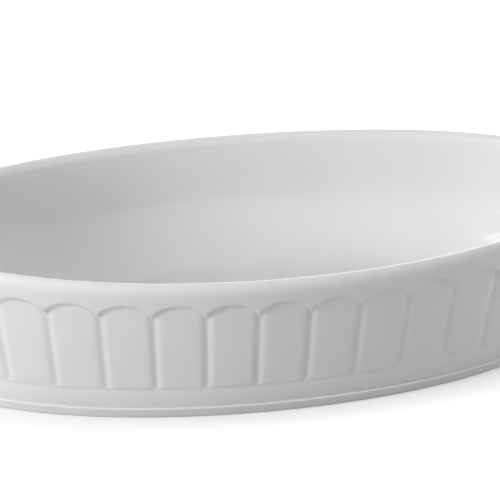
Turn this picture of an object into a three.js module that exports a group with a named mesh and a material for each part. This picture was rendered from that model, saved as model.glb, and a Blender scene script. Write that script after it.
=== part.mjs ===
// Oval baking dish of white porcelain. An arcade of round-headed panels runs round its leaning wall,
// the round rim sweeps up a little towards both ends, and a foot ring carries the dish.
// Millimetres. The origin is on the table, under the middle of the dish: +X along the dish, +Z up.

import * as THREE from 'three';

// The whole dish, over its rim
const LENGTH = 325;
const WIDTH = 190;
const HEIGHT = 64.25; // table to rim, at the middle of a long side
const END_RISE = 3.5; // how much higher the rim stands at the ends

// Wall and floor
const DRAFT_DEGREES = 12; // outward lean of the wall
const WALL = 7.3; // thickness of the wall, measured level
const RIM_ROUND = 4.5; // radius of the rim's inner half and height of its steeper outer half
const FLOOR = 5; // thickness of the floor
const FLOOR_CORNER_RADIUS = 36; // inside, where the wall turns into the floor

// Foot ring
const FOOT_HEIGHT = 5;
const FOOT_WIDTH = 9; // across its flat top
const FOOT_TAPER_DEGREES = 28; // lean of its side, in towards the table
const FOOT_EDGE_RADIUS = 0.8; // rounding of both edges of its bearing face
const LEDGE = 1.2; // how far its top stands out past the band above it
const LEDGE_RADIUS = 0.4; // rounding of the edge of the ledge

// Base band, the plain moulding between the foot and the panels
const BAND_HEIGHT = 8.85;
const BAND_TUCK = 1.9; // how far its lower edge tucks in behind the line of the wall
const BAND_SWELL = 0.45; // how far it bulges out of a straight slope

// Arcade: one round-headed panel in each bay, with a groove between neighbours
const BAY_WIDTH = 21.7; // one bay, before the bays are evened out to a whole number in each quarter
const PANEL_RECESS = 0.9;
const CROWN_DROP = 9.8; // rim to the crown of each arch
const ARCH_RISE = 4.9; // crown to the tips between two arches
const ARCH_STEP = 2.2; // height of the soft step from the upper wall to a panel
const GROOVE_WIDTH = 7.2;
const GROOVE_DEPTH = 0.65; // below the panels
const CREASE_DEPTH = 0.35; // how far the lower edge of a panel curls in to meet the base band
const CREASE_ROUND = 2.2; // height in which a panel curls in and a groove dies out

// Facets along each curve
const BAND_STEPS = 4;
const CREASE_STEPS = 2;
const RIM_STEPS = 4;
const CORNER_STEPS = 8;
const EDGE_STEPS = 3;
const OVAL_STEPS = 1440;
const GROOVE_SLOPE_SHARE = 0.4; // where the facets break between a groove's floor and its shoulder

// Colours and finishes
const GLAZE = { color: 0xf3f3f1, roughness: 0.12, metalness: 0 };
const BISQUE = { color: 0xe9e6df, roughness: 0.7, metalness: 0 };

const draft = THREE.MathUtils.degToRad(DRAFT_DEGREES);
const footTaper = THREE.MathUtils.degToRad(FOOT_TAPER_DEGREES);
const wallOutside = WALL - RIM_ROUND / Math.cos(draft); // level, from the rim's centre line to the face
const rimOutside = Math.sqrt(wallOutside ** 2 - (RIM_ROUND * Math.tan(draft)) ** 2);
const rimCentre = new THREE.Vector2(rimOutside, HEIGHT - RIM_ROUND);
const rimTangent = rimCentre.y - (RIM_ROUND ** 2 * Math.tan(draft)) / wallOutside;
const floorTop = FOOT_HEIGHT + FLOOR;
const creaseHeight = FOOT_HEIGHT + BAND_HEIGHT;
const crownHeight = HEIGHT - CROWN_DROP;

// Profile points are (inset, height). The inset is taken inwards from the widest line of the rim,
// and at one inset the dish is an oval whose half-length and half-width are both that much shorter.

// Inset of the upper wall's outer face, a straight slope that runs tangent into the rim
function faceInset(height) {
  return rimOutside - wallOutside + (rimCentre.y - height) * Math.tan(draft);
}

const bandInset = faceInset(FOOT_HEIGHT) + BAND_TUCK;
const footOuter = bandInset - LEDGE;
const footInner = footOuter + FOOT_WIDTH;
const sideDrop = FOOT_HEIGHT - LEDGE_RADIUS - FOOT_EDGE_RADIUS;
const sideShift = FOOT_EDGE_RADIUS - LEDGE_RADIUS + sideDrop * Math.sin(footTaper);
const bearingOuter = footOuter + LEDGE_RADIUS + sideShift / Math.cos(footTaper);
const cornerInset =
  faceInset(floorTop + FLOOR_CORNER_RADIUS) + WALL + FLOOR_CORNER_RADIUS / Math.cos(draft);

// The bays are even along the middle of the panels, and a groove stands on each axis of the oval
const panelMiddle = (creaseHeight + crownHeight) / 2;
const panelInset = faceInset(panelMiddle) + PANEL_RECESS;
const panelOval = new THREE.EllipseCurve(0, 0, LENGTH / 2 - panelInset, WIDTH / 2 - panelInset);
panelOval.arcLengthDivisions = OVAL_STEPS;
const quarterLength = panelOval.getLength() / 4;
const quarterBays = Math.round(quarterLength / BAY_WIDTH);
const bayCount = 4 * quarterBays;
const bayWidth = quarterLength / quarterBays;

// A circular arc of a profile, clockwise unless it is said to turn the other way
function arc(centreInset, centreHeight, radius, from, to, clockwise = true) {
  return new THREE.EllipseCurve(centreInset, centreHeight, radius, radius, from, to, clockwise);
}

// A point of the outer wall, pushed in from its face
function wallPoint(height, recess) {
  return new THREE.Vector2(faceInset(height) + recess, height);
}

// Height of the arch over a bay: a segment of a circle from tip to tip
function archHeight(fromGroove) {
  const halfSpan = bayWidth / 2;
  const radius = (halfSpan ** 2 + ARCH_RISE ** 2) / (2 * ARCH_RISE);
  const fromCrown = halfSpan - fromGroove;
  return crownHeight - radius + Math.sqrt(radius ** 2 - fromCrown ** 2);
}

// Depth of the rounded valley between two panels, which eases out into their faces
function grooveDepth(fromGroove) {
  const across = Math.min(fromGroove / (GROOVE_WIDTH / 2), 1);
  return GROOVE_DEPTH * (1 - across) ** 3 * (1 + 3 * across);
}

// The lower edge of a panel, from the crease up to where it lies at its full groove depth
function panelFoot(depth) {
  const points = [];
  for (let step = 1; step <= CREASE_STEPS; step += 1) {
    const share = step / CREASE_STEPS;
    const curl = CREASE_DEPTH * (1 - share) ** 2;
    const groove = depth * THREE.MathUtils.smoothstep(share, 0, 1);
    points.push(wallPoint(creaseHeight + share * CREASE_ROUND, PANEL_RECESS + curl + groove));
  }
  return points;
}

// The base band swells out of the straight line between its lower edge and the crease under the panels
function bandCurve() {
  const lower = new THREE.Vector2(bandInset, FOOT_HEIGHT);
  const upper = wallPoint(creaseHeight, PANEL_RECESS + CREASE_DEPTH);
  const slope = upper.clone().sub(lower).normalize();
  const outwards = new THREE.Vector2(-slope.y, slope.x);
  const control = lower.clone().add(upper).divideScalar(2);
  control.addScaledVector(outwards, 2 * BAND_SWELL);
  return new THREE.QuadraticBezierCurve(lower, control, upper);
}

// Outside of the dish from the foot to the crest of the rim
function outerProfile(fromGroove) {
  const depth = grooveDepth(fromGroove);
  const arch = archHeight(fromGroove);
  const rim = new THREE.EllipseCurve(
    rimCentre.x, rimCentre.y, rimOutside, RIM_ROUND, Math.PI, Math.PI / 2, true,
  );
  return [
    ...bandCurve().getPoints(BAND_STEPS),
    ...panelFoot(depth),
    wallPoint(arch - ARCH_STEP / 2, PANEL_RECESS + depth),
    wallPoint(arch + ARCH_STEP / 2, 0),
    wallPoint(rimTangent, 0),
    ...rim.getPoints(RIM_STEPS),
  ];
}

// Inside of the dish from the crest of the rim, which is left out, to the edge of the flat floor
function innerProfile() {
  const rim = arc(rimCentre.x, rimCentre.y, RIM_ROUND, Math.PI / 2, draft);
  const cornerHeight = floorTop + FLOOR_CORNER_RADIUS;
  const corner = arc(
    cornerInset, cornerHeight, FLOOR_CORNER_RADIUS, Math.PI + draft, 1.5 * Math.PI, false,
  );
  return [...rim.getPoints(RIM_STEPS).slice(1), ...corner.getPoints(CORNER_STEPS)];
}

// Section of the foot ring, from its bearing face up its leaning side, over the ledge and down its inside
function footProfile() {
  const side = Math.PI + footTaper;
  const outer = arc(bearingOuter, FOOT_EDGE_RADIUS, FOOT_EDGE_RADIUS, 1.5 * Math.PI, side);
  const ledge = arc(
    footOuter + LEDGE_RADIUS, FOOT_HEIGHT - LEDGE_RADIUS, LEDGE_RADIUS, side, Math.PI / 2,
  );
  const inner = arc(footInner - FOOT_EDGE_RADIUS, FOOT_EDGE_RADIUS, FOOT_EDGE_RADIUS, 0, -Math.PI / 2);
  return [
    ...outer.getPoints(EDGE_STEPS),
    ...ledge.getPoints(EDGE_STEPS),
    new THREE.Vector2(footInner, FOOT_HEIGHT),
    ...inner.getPoints(EDGE_STEPS),
  ];
}

// Columns round the oval, at the given shares of each bay
function columnsAt(shares) {
  const columns = [];
  for (let bay = 0; bay < bayCount; bay += 1) {
    for (const share of shares) {
      const angle = 2 * Math.PI * panelOval.getUtoTmapping((bay + share) / bayCount);
      columns.push({ angle, fromGroove: bayWidth * Math.min(share, 1 - share) });
    }
  }
  return columns;
}

// Shares of a bay where the relief needs a column: the groove, its shoulders and the arch
function reliefShares() {
  const shoulder = GROOVE_WIDTH / 2 / bayWidth;
  const haunch = (shoulder + 0.5) / 2;
  const half = [GROOVE_SLOPE_SHARE * shoulder, shoulder, haunch];
  return [0, ...half, 0.5, ...half.map((share) => 1 - share).reverse()];
}

// Everything above the floor is lifted in proportion to its height, most at the two ends
function place(point, angle) {
  const above = Math.max(0, (point.y - floorTop) / (HEIGHT - floorTop));
  return new THREE.Vector3(
    (LENGTH / 2 - point.x) * Math.cos(angle),
    (WIDTH / 2 - point.x) * Math.sin(angle),
    point.y + END_RISE * above * Math.cos(angle) ** 2,
  );
}

// Level rings through the same point of each column's profile
function ringsOf(columns, profileAt) {
  const profiles = columns.map((column) => profileAt(column.fromGroove));
  return profiles[0].map((_, row) =>
    columns.map((column, at) => place(profiles[at][row], column.angle)),
  );
}

// Triangles between neighbouring rings, where one ring's count divides the other's
function bridge(index, lower, upper) {
  const steps = Math.max(lower.count, upper.count);
  const corner = (ring, step) => ring.start + (Math.round((step * ring.count) / steps) % ring.count);
  for (let step = 0; step < steps; step += 1) {
    const [a, b] = [corner(lower, step), corner(lower, step + 1)];
    const [d, c] = [corner(upper, step), corner(upper, step + 1)];
    if (a !== b) index.push(a, b, c);
    if (c !== d) index.push(a, c, d);
  }
}

// A skin over a stack of rings, each bridged to the next; a closed stack joins its last to its first
function skin(rings, closed) {
  const spans = [];
  let start = 0;
  for (const ring of rings) {
    spans.push({ start, count: ring.length });
    start += ring.length;
  }
  const index = [];
  spans.slice(1).forEach((span, at) => bridge(index, spans[at], span));
  if (closed) bridge(index, spans[spans.length - 1], spans[0]);
  const geometry = new THREE.BufferGeometry().setFromPoints(rings.flat());
  geometry.setIndex(index);
  geometry.computeVertexNormals();
  return geometry;
}

const reliefColumns = columnsAt(reliefShares());
const plainColumns = columnsAt([0, 0.5]);

function dishBody() {
  const underside = [new THREE.Vector3(0, 0, FOOT_HEIGHT)];
  const floorMiddle = [new THREE.Vector3(0, 0, floorTop)];
  const outside = ringsOf(reliefColumns, outerProfile);
  const inside = ringsOf(plainColumns, innerProfile);
  const geometry = skin([underside, ...outside, ...inside, floorMiddle], false);
  const mesh = new THREE.Mesh(geometry, new THREE.MeshStandardMaterial(GLAZE));
  mesh.name = 'dish_body';
  return mesh;
}

function footRing() {
  const geometry = skin(ringsOf(plainColumns, footProfile), true);
  const mesh = new THREE.Mesh(geometry, new THREE.MeshStandardMaterial(BISQUE));
  mesh.name = 'foot_ring';
  return mesh;
}

const bakingDish = new THREE.Group();
bakingDish.add(dishBody(), footRing());

export default bakingDish;
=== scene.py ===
import bisect
import math

import bmesh
import bpy
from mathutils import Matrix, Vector


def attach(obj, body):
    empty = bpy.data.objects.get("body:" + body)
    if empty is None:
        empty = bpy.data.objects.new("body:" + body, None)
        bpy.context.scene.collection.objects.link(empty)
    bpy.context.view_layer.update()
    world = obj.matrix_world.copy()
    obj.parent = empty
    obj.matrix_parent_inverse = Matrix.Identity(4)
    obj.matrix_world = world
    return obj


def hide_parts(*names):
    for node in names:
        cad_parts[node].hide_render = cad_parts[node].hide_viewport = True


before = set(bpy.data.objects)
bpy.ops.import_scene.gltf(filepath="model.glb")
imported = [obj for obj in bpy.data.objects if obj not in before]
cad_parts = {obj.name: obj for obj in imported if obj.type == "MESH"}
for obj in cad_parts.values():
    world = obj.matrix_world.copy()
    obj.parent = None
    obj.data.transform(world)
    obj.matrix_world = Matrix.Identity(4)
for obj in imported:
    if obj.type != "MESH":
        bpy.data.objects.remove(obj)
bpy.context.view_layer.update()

# Dish body. White hard porcelain, pressed in one piece with its arcade of round-headed panels, then glazed
# all over and fired, so every edge of the relief is softened by the glaze that ran over it.
# Its section is drawn on the short half of the oval, spun to a round bowl, and drawn out to the oval.
dish_length, dish_width, dish_height = 0.325, 0.190, 0.06425
end_rise = 0.0035
draft = math.radians(12)
wall, rim_round = 0.0073, 0.0045
floor_top, corner_radius = 0.010, 0.036
foot_height = 0.005
crease_height, crown_height = 0.01385, 0.05445
band_tuck, band_swell = 0.0019, 0.00045
bays, columns_per_bay, column_draw = 36, 22, 0.45
panel_recess, arch_rise, arch_step = 0.0013, 0.0049, 0.0026
groove_width, groove_depth = 0.0072, 0.00065
crease_depth, crease_round = 0.00035, 0.0022
arch_margin, crease_margin = 0.0018, 0.0023
floor_steps, corner_steps, wall_steps, rim_steps, band_steps = 3, 16, 4, 14, 10
plain_rows, arch_rows, panel_rows, crease_rows = 3, 26, 10, 8
sharp_angle = math.radians(50)
mirror_gap, least_gap = 1e-7, 1e-6

half_width = dish_width / 2
drawn_out = (dish_length - dish_width) / 2
wall_outside = wall - rim_round / math.cos(draft)
rim_outside = math.sqrt(wall_outside**2 - (rim_round * math.tan(draft)) ** 2)
rim_height = dish_height - rim_round
# how far down from the rim the painted highlight reaches
rim_light_reach = 0.75 * rim_round


def face_inset(height):
    """How far the straight outer face of the wall lies inside the widest line of the rim."""
    return rim_outside - wall_outside + (rim_height - height) * math.tan(draft)


corner_height = floor_top + corner_radius
corner_inset = face_inset(corner_height) + wall + corner_radius / math.cos(draft)
floor_radius = half_width - corner_inset
band_inset = face_inset(foot_height) + band_tuck
crease_inset = face_inset(crease_height) + panel_recess + crease_depth


def start_section(section, inset, height):
    """The first point of a section, on the plane where it is drawn."""
    return bmesh.ops.create_vert(section, co=(half_width - inset, 0, height))["vert"][0]


def straight_to(section, last, inset, height, steps):
    """Draws the section on in a straight line."""
    run = Vector((half_width - inset, 0, height)) - last.co
    made = bmesh.ops.spin(section, geom=[last], axis=(0, 1, 0), dvec=run / steps, steps=steps)
    return made["geom_last"][0]


def turn_about(section, last, inset, height, angle, steps):
    """Draws the section on in an arc about a centre."""
    made = bmesh.ops.spin(
        section, geom=[last], cent=(half_width - inset, 0, height), axis=(0, 1, 0), angle=angle, steps=steps
    )
    return made["geom_last"][0]


def spin_quarter(section):
    """Spins a section through the quarter of the dish between its length and its width."""
    steps = bays // 4 * columns_per_bay
    section_parts = section.verts[:] + section.edges[:]
    bmesh.ops.spin(section, geom=section_parts, axis=(0, 0, 1), angle=math.pi / 2, steps=steps)


def mirror_quarter(piece):
    """Mirrors a finished quarter over both middles of the dish and closes its seams and its poles."""
    for axis in ("X", "Y"):
        parts = piece.verts[:] + piece.edges[:] + piece.faces[:]
        bmesh.ops.mirror(piece, geom=parts, axis=axis, merge_dist=mirror_gap)
    bmesh.ops.remove_doubles(piece, verts=piece.verts, dist=least_gap)
    bmesh.ops.recalc_face_normals(piece, faces=piece.faces)


# The bays are even along the middle of the panels, so the turn of the spin is shared out along that oval
panel_inset = face_inset((crease_height + crown_height) / 2) + panel_recess
panel_half_width = half_width - panel_inset
panel_half_length = panel_half_width + drawn_out
oval_steps = 2880
oval_run = [0.0]
for step in range(oval_steps):
    middle = 2 * math.pi * (step + 0.5) / oval_steps
    oval_run.append(
        oval_run[-1] + math.hypot(panel_half_length * math.sin(middle), panel_half_width * math.cos(middle))
    )
bay_width = oval_run[-1] * 2 * math.pi / oval_steps / bays


def oval_angle(bay):
    """The oval's own angle at so many bays round from the end of the dish."""
    run = bay / bays * oval_run[-1]
    after = min(max(bisect.bisect_right(oval_run, run), 1), oval_steps)
    share = (run - oval_run[after - 1]) / (oval_run[after] - oval_run[after - 1])
    return 2 * math.pi * (after - 1 + share) / oval_steps


def bay_at(vert):
    """How many bays round a spun point lies, with the columns drawn towards the grooves."""
    turn = math.atan2(vert.co.y, vert.co.x) / (2 * math.pi)
    return turn * bays - column_draw * math.sin(2 * math.pi * turn * bays) / (2 * math.pi)


def draw_out(vert, bay, recess):
    """Moves a spun point out to the oval, pushes it in by the relief and lifts it towards the ends."""
    radius = math.hypot(vert.co.x, vert.co.y)
    stretch = 1 + drawn_out / max(radius, floor_radius)
    share = (radius - recess) / radius if radius > floor_radius else 1
    angle = oval_angle(bay)
    lift = max(0, (vert.co.z - floor_top) / (dish_height - floor_top))
    vert.co = (
        radius * stretch * math.cos(angle) - (1 - share) * radius * math.cos(angle),
        radius * share * math.sin(angle),
        vert.co.z + end_rise * lift * math.cos(angle) ** 2,
    )


def ease(share):
    """A soft step from 0 to 1."""
    share = min(max(share, 0), 1)
    return share * share * (3 - 2 * share)


arch_radius = ((bay_width / 2) ** 2 + arch_rise**2) / (2 * arch_rise)


def relief(bay, height):
    """The panel under its arch, the valley of a groove and the curl into the crease, each from 0 to 1."""
    from_crown = bay_width * (bay % 1 - 0.5)
    from_groove = bay_width / 2 - abs(from_crown)
    above_centre = max(0, height - crown_height + arch_radius)
    under_arch = ease(0.5 + (arch_radius - math.hypot(from_crown, above_centre)) / arch_step)
    across = min(from_groove / (groove_width / 2), 1)
    valley = under_arch * (1 - across) ** 3 * (1 + 3 * across)
    valley *= ease((height - crease_height) / crease_round)
    curl = max(0, 1 - (height - crease_height) / crease_round) ** 2
    return under_arch, valley, curl


# The section goes up the inside from the middle of the floor, over the rim and down the outside to the foot
body = bmesh.new()
pen = start_section(body, half_width, floor_top)
pen = straight_to(body, pen, corner_inset, floor_top, floor_steps)
pen = turn_about(body, pen, corner_inset, corner_height, draft - math.pi / 2, corner_steps)
rim_inside = rim_outside + rim_round * math.cos(draft)
pen = straight_to(body, pen, rim_inside, rim_height + rim_round * math.sin(draft), wall_steps)
pen = turn_about(body, pen, rim_outside, rim_height, math.pi / 2 - draft, rim_steps)
rim_turn = math.pi / 2 + math.atan2(rim_round * math.sin(draft), rim_outside * math.cos(draft))
for step in range(1, rim_steps + 1):
    turn = rim_turn * step / rim_steps
    rim_inset = rim_outside - rim_outside * math.sin(turn)
    pen = straight_to(body, pen, rim_inset, rim_height + rim_round * math.cos(turn), 1)
wall_runs = (
    (crown_height + arch_margin, plain_rows),
    (crown_height - arch_rise - arch_margin, arch_rows),
    (crease_height + crease_margin, panel_rows),
    (crease_height, crease_rows),
)
for height, rows in wall_runs:
    pen = straight_to(body, pen, face_inset(height), height, rows)
pen.co.x = half_width - crease_inset
band_run = Vector((band_inset - crease_inset, foot_height - crease_height))
band_radius = (band_run.length_squared / 4 + band_swell**2) / (2 * band_swell)
band_turn = 2 * math.asin(band_run.length / 2 / band_radius)
band_centre = Vector((crease_inset, crease_height)) + band_run / 2
band_centre += (band_radius - band_swell) * Vector((-band_run.y, band_run.x)).normalized()
pen = turn_about(body, pen, band_centre.x, band_centre.y, band_turn, band_steps)
straight_to(body, pen, half_width, foot_height, floor_steps)
spin_quarter(body)

groove_shade = body.verts.layers.float.new("painted_groove_shade")
rim_light = body.verts.layers.float.new("painted_rim_light")
for vert in body.verts:
    bay = bay_at(vert)
    # painted highlight: the glaze is lightened towards the top of the rim
    vert[rim_light] = ease((vert.co.z - rim_height) / rim_light_reach)
    inset = half_width - math.hypot(vert.co.x, vert.co.y)
    recess = 0
    if vert.co.z > crease_height + least_gap and inset < face_inset(vert.co.z) + wall / 2:
        under_arch, valley, curl = relief(bay, vert.co.z)
        recess = panel_recess * under_arch + groove_depth * valley + crease_depth * curl
        # painted shade: the glaze is darkened down the valleys of the grooves
        vert[groove_shade] = valley
    draw_out(vert, bay, recess)
mirror_quarter(body)


def add_piece(name, built):
    """Puts a finished mesh into the scene as an object."""
    mesh = bpy.data.meshes.new(name)
    built.to_mesh(mesh)
    built.free()
    piece = bpy.data.objects.new(name, mesh)
    bpy.context.scene.collection.objects.link(piece)
    return piece


def shade_soft(piece):
    """Shades a piece smooth, apart from its sharp edges."""
    piece.data.shade_smooth()
    piece.data.set_sharp_from_angle(angle=sharp_angle)


porcelain_dish = add_piece("porcelain_dish", body)
shade_soft(porcelain_dish)


def grey(level):
    """A neutral colour."""
    return level, level, level, 1


def noise(tree, place, scale, detail):
    """A noise in the object's own space."""
    made = tree.nodes.new("ShaderNodeTexNoise")
    made.inputs["Scale"].default_value = scale
    made.inputs["Detail"].default_value = detail
    tree.links.new(place.outputs["Object"], made.inputs["Vector"])
    return made.outputs["Fac"]


def two_tones(tree, value, dark, light):
    """A ramp from a dark to a light tone over the middle of a noise."""
    ramp = tree.nodes.new("ShaderNodeValToRGB")
    low, high = ramp.color_ramp.elements
    low.position, low.color = 0.3, dark
    high.position, high.color = 0.7, light
    tree.links.new(value, ramp.inputs["Fac"])
    return ramp.outputs["Color"]


def feed(tree, entry, value):
    """Links a socket to an entry, or sets a plain value there."""
    if isinstance(value, bpy.types.NodeSocket):
        tree.links.new(value, entry)
    else:
        entry.default_value = value


def mix_tones(tree, factor, first, second):
    """A mix of two tones, each a socket or a plain colour."""
    mix = tree.nodes.new("ShaderNodeMix")
    mix.data_type = "RGBA"
    tree.links.new(factor, mix.inputs["Factor"])
    feed(tree, mix.inputs["A"], first)
    feed(tree, mix.inputs["B"], second)
    return mix.outputs["Result"]


def tint(tree, tone, attribute, colour):
    """Brings a tone to another colour by an attribute of the mesh."""
    amount = tree.nodes.new("ShaderNodeAttribute")
    amount.attribute_name = attribute
    return mix_tones(tree, amount.outputs["Fac"], tone, colour)


def spread(tree, value, low, high):
    """Turns a value from 0 to 1 into one from low to high."""
    made = tree.nodes.new("ShaderNodeMapRange")
    made.inputs["To Min"].default_value = low
    made.inputs["To Max"].default_value = high
    tree.links.new(value, made.inputs["Value"])
    return made.outputs["Result"]


# The glaze has faint clouds. It is a little darker in the grooves, a painted shade, and lighter over the
# rim, a painted highlight, and it has a glossy coat with a trace of orange peel under it.
glaze = bpy.data.materials.new("white_glaze")
glaze.use_nodes = True
tree = glaze.node_tree
shader = tree.nodes["Principled BSDF"]
shader.inputs["IOR"].default_value = 1.5
shader.inputs["Specular IOR Level"].default_value = 0.25
shader.inputs["Coat Weight"].default_value = 0.7
shader.inputs["Coat Roughness"].default_value = 0.02

place = tree.nodes.new("ShaderNodeTexCoord")
cloud = noise(tree, place, scale=14, detail=3)
tone = two_tones(tree, cloud, dark=grey(0.80), light=grey(0.84))
# painted shade: darker glaze in the grooves
tone = tint(tree, tone, "painted_groove_shade", grey(0.80))
# painted highlight: lighter glaze over the rim
tone = tint(tree, tone, "painted_rim_light", grey(0.89))
tree.links.new(tone, shader.inputs["Base Color"])

gloss = spread(tree, cloud, low=0.16, high=0.24)
tree.links.new(gloss, shader.inputs["Roughness"])

peel = noise(tree, place, scale=160, detail=2)
peel_bump = tree.nodes.new("ShaderNodeBump")
peel_bump.inputs["Strength"].default_value = 0.05
peel_bump.inputs["Distance"].default_value = 0.0004
tree.links.new(peel, peel_bump.inputs["Height"])
tree.links.new(peel_bump.outputs["Normal"], shader.inputs["Normal"])

porcelain_dish.data.materials.append(glaze)
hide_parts("dish_body")
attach(porcelain_dish, "root")

# Foot ring. The same porcelain, a low ring whose top stands out past the base band as a small ledge and
# whose side leans in towards the table. The side is glazed, and the bearing face is wiped bare before
# firing, so that the dish doesn't stick to the kiln shelf.
foot_taper = math.radians(28)
ledge, foot_width = 0.0012, 0.009
foot_edge, ledge_radius = 0.0008, 0.0004
bearing_steps, edge_steps, side_steps, ledge_steps = 4, 6, 4, 8
top_steps, inner_steps = 5, 2
foot_outer = band_inset - ledge
foot_inner = foot_outer + foot_width
side_drop = foot_height - ledge_radius - foot_edge
side_shift = foot_edge - ledge_radius + side_drop * math.sin(foot_taper)
bearing_outer = foot_outer + ledge_radius + side_shift / math.cos(foot_taper)
ledge_inset, ledge_height = foot_outer + ledge_radius, foot_height - ledge_radius
side_inset = ledge_inset - ledge_radius * math.cos(foot_taper)
side_top = ledge_height - ledge_radius * math.sin(foot_taper)

foot = bmesh.new()
pen = start_section(foot, foot_inner - foot_edge, 0)
pen = straight_to(foot, pen, bearing_outer, 0, bearing_steps)
pen = turn_about(foot, pen, bearing_outer, foot_edge, foot_taper - math.pi / 2, edge_steps)
pen = straight_to(foot, pen, side_inset, side_top, side_steps)
pen = turn_about(foot, pen, ledge_inset, ledge_height, -foot_taper - math.pi / 2, ledge_steps)
pen = straight_to(foot, pen, foot_inner, foot_height, top_steps)
pen = straight_to(foot, pen, foot_inner, foot_edge, inner_steps)
turn_about(foot, pen, foot_inner - foot_edge, foot_edge, -math.pi / 2, edge_steps)
spin_quarter(foot)
for vert in foot.verts:
    draw_out(vert, bay_at(vert), 0)
mirror_quarter(foot)
unglazed_foot = add_piece("unglazed_foot", foot)
shade_soft(unglazed_foot)

# The glaze of the side gives way to bare, grainy clay just above the table
foot_finish = bpy.data.materials.new("glazed_side_bare_foot")
foot_finish.use_nodes = True
tree = foot_finish.node_tree
shader = tree.nodes["Principled BSDF"]
shader.inputs["IOR"].default_value = 1.5

glaze_ends, all_bare = 0.0007, 0.0003
place = tree.nodes.new("ShaderNodeTexCoord")
height_split = tree.nodes.new("ShaderNodeSeparateXYZ")
tree.links.new(place.outputs["Object"], height_split.inputs["Vector"])
bare = tree.nodes.new("ShaderNodeMapRange")
bare.interpolation_type = "SMOOTHSTEP"
bare.inputs["From Min"].default_value = glaze_ends
bare.inputs["From Max"].default_value = all_bare
tree.links.new(height_split.outputs["Z"], bare.inputs["Value"])

grain = noise(tree, place, scale=900, detail=4)
bare_tone = two_tones(tree, grain, dark=(0.60, 0.58, 0.54, 1), light=(0.72, 0.70, 0.66, 1))
foot_tone = mix_tones(tree, bare.outputs["Result"], grey(0.84), bare_tone)
tree.links.new(foot_tone, shader.inputs["Base Color"])
foot_gloss = spread(tree, bare.outputs["Result"], low=0.2, high=0.8)
tree.links.new(foot_gloss, shader.inputs["Roughness"])

grain_bump = tree.nodes.new("ShaderNodeBump")
grain_bump.inputs["Distance"].default_value = 0.0002
tree.links.new(bare.outputs["Result"], grain_bump.inputs["Strength"])
tree.links.new(grain, grain_bump.inputs["Height"])
tree.links.new(grain_bump.outputs["Normal"], shader.inputs["Normal"])

unglazed_foot.data.materials.append(foot_finish)
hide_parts("foot_ring")
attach(unglazed_foot, "root")

# Studio floor. A wide sheet of white paper that keeps the soft shadow under the dish and fades to plain
# white round it. Only the camera and the glaze's mirror image see that white, so it doesn't light the dish.
floor_reach = 20
shade_half_width = 0.080
shade_half_length = shade_half_width + drawn_out
floor = bmesh.new()
bmesh.ops.create_grid(floor, x_segments=1, y_segments=1, size=floor_reach)
studio_floor = add_piece("studio_floor", floor)


def work_out(tree, operation, first, second):
    """One sum on two values, each a socket or a plain number."""
    node = tree.nodes.new("ShaderNodeMath")
    node.operation = operation
    feed(tree, node.inputs[0], first)
    feed(tree, node.inputs[1], second)
    return node.outputs["Value"]


def seen_or_mirrored(tree):
    """1 for the camera and for what the glaze mirrors, and 0 for light that falls on the dish."""
    path = tree.nodes.new("ShaderNodeLightPath")
    return work_out(tree, "MAXIMUM", path.outputs["Is Camera Ray"], path.outputs["Is Glossy Ray"])


paper = bpy.data.materials.new("white_paper")
paper.use_nodes = True
tree = paper.node_tree
tree.nodes.remove(tree.nodes["Principled BSDF"])
sheet = tree.nodes.new("ShaderNodeBsdfDiffuse")
sheet.inputs["Color"].default_value = grey(0.64)

place = tree.nodes.new("ShaderNodeTexCoord")
shade_oval = tree.nodes.new("ShaderNodeVectorMath")
shade_oval.operation = "DIVIDE"
shade_oval.inputs[1].default_value = (shade_half_length, shade_half_width, 1)
tree.links.new(place.outputs["Object"], shade_oval.inputs[0])
from_dish = tree.nodes.new("ShaderNodeVectorMath")
from_dish.operation = "LENGTH"
tree.links.new(shade_oval.outputs["Vector"], from_dish.inputs[0])
fade = tree.nodes.new("ShaderNodeMapRange")
fade.interpolation_type = "SMOOTHSTEP"
fade.inputs["From Min"].default_value = 0.9
fade.inputs["From Max"].default_value = 1.8
fade.inputs["To Min"].default_value = 0.34
fade.inputs["To Max"].default_value = 1
tree.links.new(from_dish.outputs["Value"], fade.inputs["Value"])

white = tree.nodes.new("ShaderNodeEmission")
white_level = work_out(tree, "MULTIPLY", fade.outputs["Result"], seen_or_mirrored(tree))
tree.links.new(white_level, white.inputs["Strength"])
lit_paper = tree.nodes.new("ShaderNodeAddShader")
tree.links.new(sheet.outputs["BSDF"], lit_paper.inputs[0])
tree.links.new(white.outputs["Emission"], lit_paper.inputs[1])
tree.links.new(lit_paper.outputs["Shader"], tree.nodes["Material Output"].inputs["Surface"])
studio_floor.data.materials.append(paper)

# Studio light. A backdrop and a soft box behind the dish, a wide box on the right, a small key box far to
# the left and a pale room that is lightest overhead in front, so that the wall falls from light on the left
# to grey on the right. The glaze also mirrors a small glint box and white walls.


def soft_box(name, place, size, power, mirrored):
    """A square soft box that faces the dish, and whether the glaze mirrors it."""
    lamp = bpy.data.lights.new(name, "AREA")
    lamp.size, lamp.energy = size, power
    box = bpy.data.objects.new(name, lamp)
    box.location = place
    box.visible_glossy = mirrored
    box.rotation_euler = (-Vector(place)).to_track_quat("-Z", "Y").to_euler()
    bpy.context.scene.collection.objects.link(box)


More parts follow.
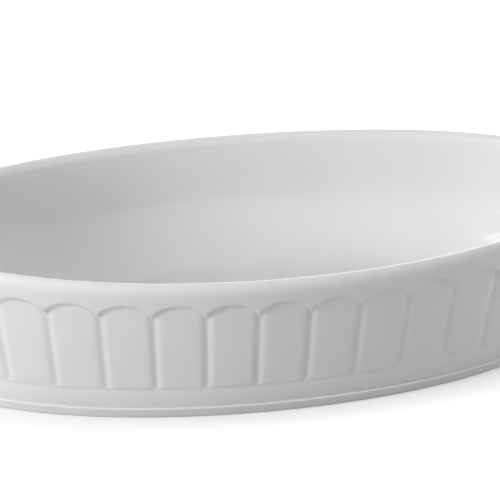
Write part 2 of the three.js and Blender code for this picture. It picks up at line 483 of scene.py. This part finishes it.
soft_box("backdrop", place=(0.592, 2.084, 0.382), size=1.4, power=5.9, mirrored=True)
soft_box("back_box", place=(-0.928, 1.664, 1.100), size=1.0, power=7.6, mirrored=True)
soft_box("right_box", place=(2.119, 0.154, 0.569), size=1.4, power=16.5, mirrored=True)
soft_box("key_box", place=(-2.005, -0.505, 0.752), size=0.6, power=26.5, mirrored=False)
soft_box("glint_box", place=(-1.385, 0.000, 1.710), size=0.52, power=2.6, mirrored=True)

lightest_way = (-0.157, -0.552, 0.819)
lobe_power, room_strength = 4, 1.13
room = bpy.data.worlds.new("pale_room")
bpy.context.scene.world = room
room.use_nodes = True
tree = room.node_tree
place = tree.nodes.new("ShaderNodeTexCoord")
overhead = tree.nodes.new("ShaderNodeVectorMath")
overhead.operation = "DOT_PRODUCT"
overhead.inputs[1].default_value = lightest_way
tree.links.new(place.outputs["Generated"], overhead.inputs[0])
above = work_out(tree, "MAXIMUM", overhead.outputs["Value"], 0)
lobe = work_out(tree, "POWER", above, lobe_power)
room_light = tree.nodes["Background"]
room_light.inputs["Color"].default_value = grey(1)
room_level = work_out(tree, "MULTIPLY", lobe, room_strength)
tree.links.new(room_level, room_light.inputs["Strength"])
white_walls = tree.nodes.new("ShaderNodeBackground")
white_walls.inputs["Color"].default_value = grey(1)
white_walls.inputs["Strength"].default_value = 1
room_or_walls = tree.nodes.new("ShaderNodeMixShader")
tree.links.new(seen_or_mirrored(tree), room_or_walls.inputs["Fac"])
tree.links.new(room_light.outputs["Background"], room_or_walls.inputs[1])
tree.links.new(white_walls.outputs["Background"], room_or_walls.inputs[2])
tree.links.new(room_or_walls.outputs["Shader"], tree.nodes["World Output"].inputs["Surface"])

# Camera. A long lens from the left of the front, well above the rim.
camera_place = (-0.3531, -1.2417, 0.53365)
camera_aim = Vector((0.2552, 0.8991, -0.3558))
lens = bpy.data.cameras.new("camera")
lens.sensor_width, lens.lens = 36, 225.1
lens.clip_start, lens.clip_end = 0.05, 100
camera = bpy.data.objects.new("camera", lens)
camera.location = camera_place
camera.rotation_euler = camera_aim.to_track_quat("-Z", "Y").to_euler()
bpy.context.scene.collection.objects.link(camera)
bpy.context.scene.camera = camera
bpy.context.scene.view_settings.view_transform = "Standard"
